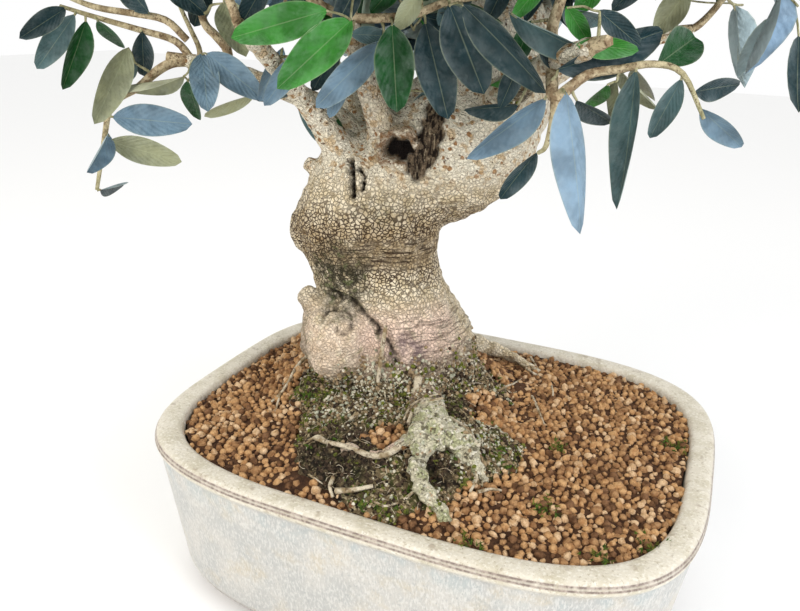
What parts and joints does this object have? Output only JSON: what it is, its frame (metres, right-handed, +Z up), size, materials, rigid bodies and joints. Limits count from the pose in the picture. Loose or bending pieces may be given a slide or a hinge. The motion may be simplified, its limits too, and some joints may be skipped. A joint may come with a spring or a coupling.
{
  "type": "olive bonsai tree in a pot",
  "caption": "Old olive tree kept small: a thick leaning trunk, a full rounded crown of slender leaves, and a glazed rounded pot filled with clay granules.",
  "frame": {"origin": "on the table under the middle of the pot", "axes": "+Z up, X along the pot's long side, the pot's long front side and the tree's front towards -Y"},
  "size_m": [0.4597, 0.4118, 0.5656],
  "materials": {
    "glazed_stoneware": "speckled cream and grey-green glaze, glossy",
    "akadama": "baked clay granules, matt orange-brown",
    "moss": "dark moss and lichen, matt",
    "olive_bark": "pale knotted bark, matt",
    "olive_leaf": "grey-green leaves, satin"
  },
  "bodies": {
    "root": {"pot": "glazed_stoneware", "soil": "akadama", "moss_left": "moss", "moss_right": "moss", "trunk": "olive_bark", "leader": "olive_bark", "front_bough": "olive_bark", "left_bough": "olive_bark", "front_left_bough": "olive_bark", "front_right_bough": "olive_bark", "right_bough": "olive_bark", "back_right_bough": "olive_bark", "back_left_bough": "olive_bark", "upper_left_bough": "olive_bark", "upper_right_bough": "olive_bark", "upper_back_bough": "olive_bark", "left_foliage": "olive_leaf", "front_left_foliage": "olive_leaf", "front_right_foliage": "olive_leaf", "right_foliage": "olive_leaf", "back_right_foliage": "olive_leaf", "back_left_foliage": "olive_leaf", "front_foliage": "olive_leaf", "upper_left_foliage": "olive_leaf", "upper_right_foliage": "olive_leaf", "upper_back_foliage": "olive_leaf", "top_foliage": "olive_leaf"}
  },
  "joints": []
}
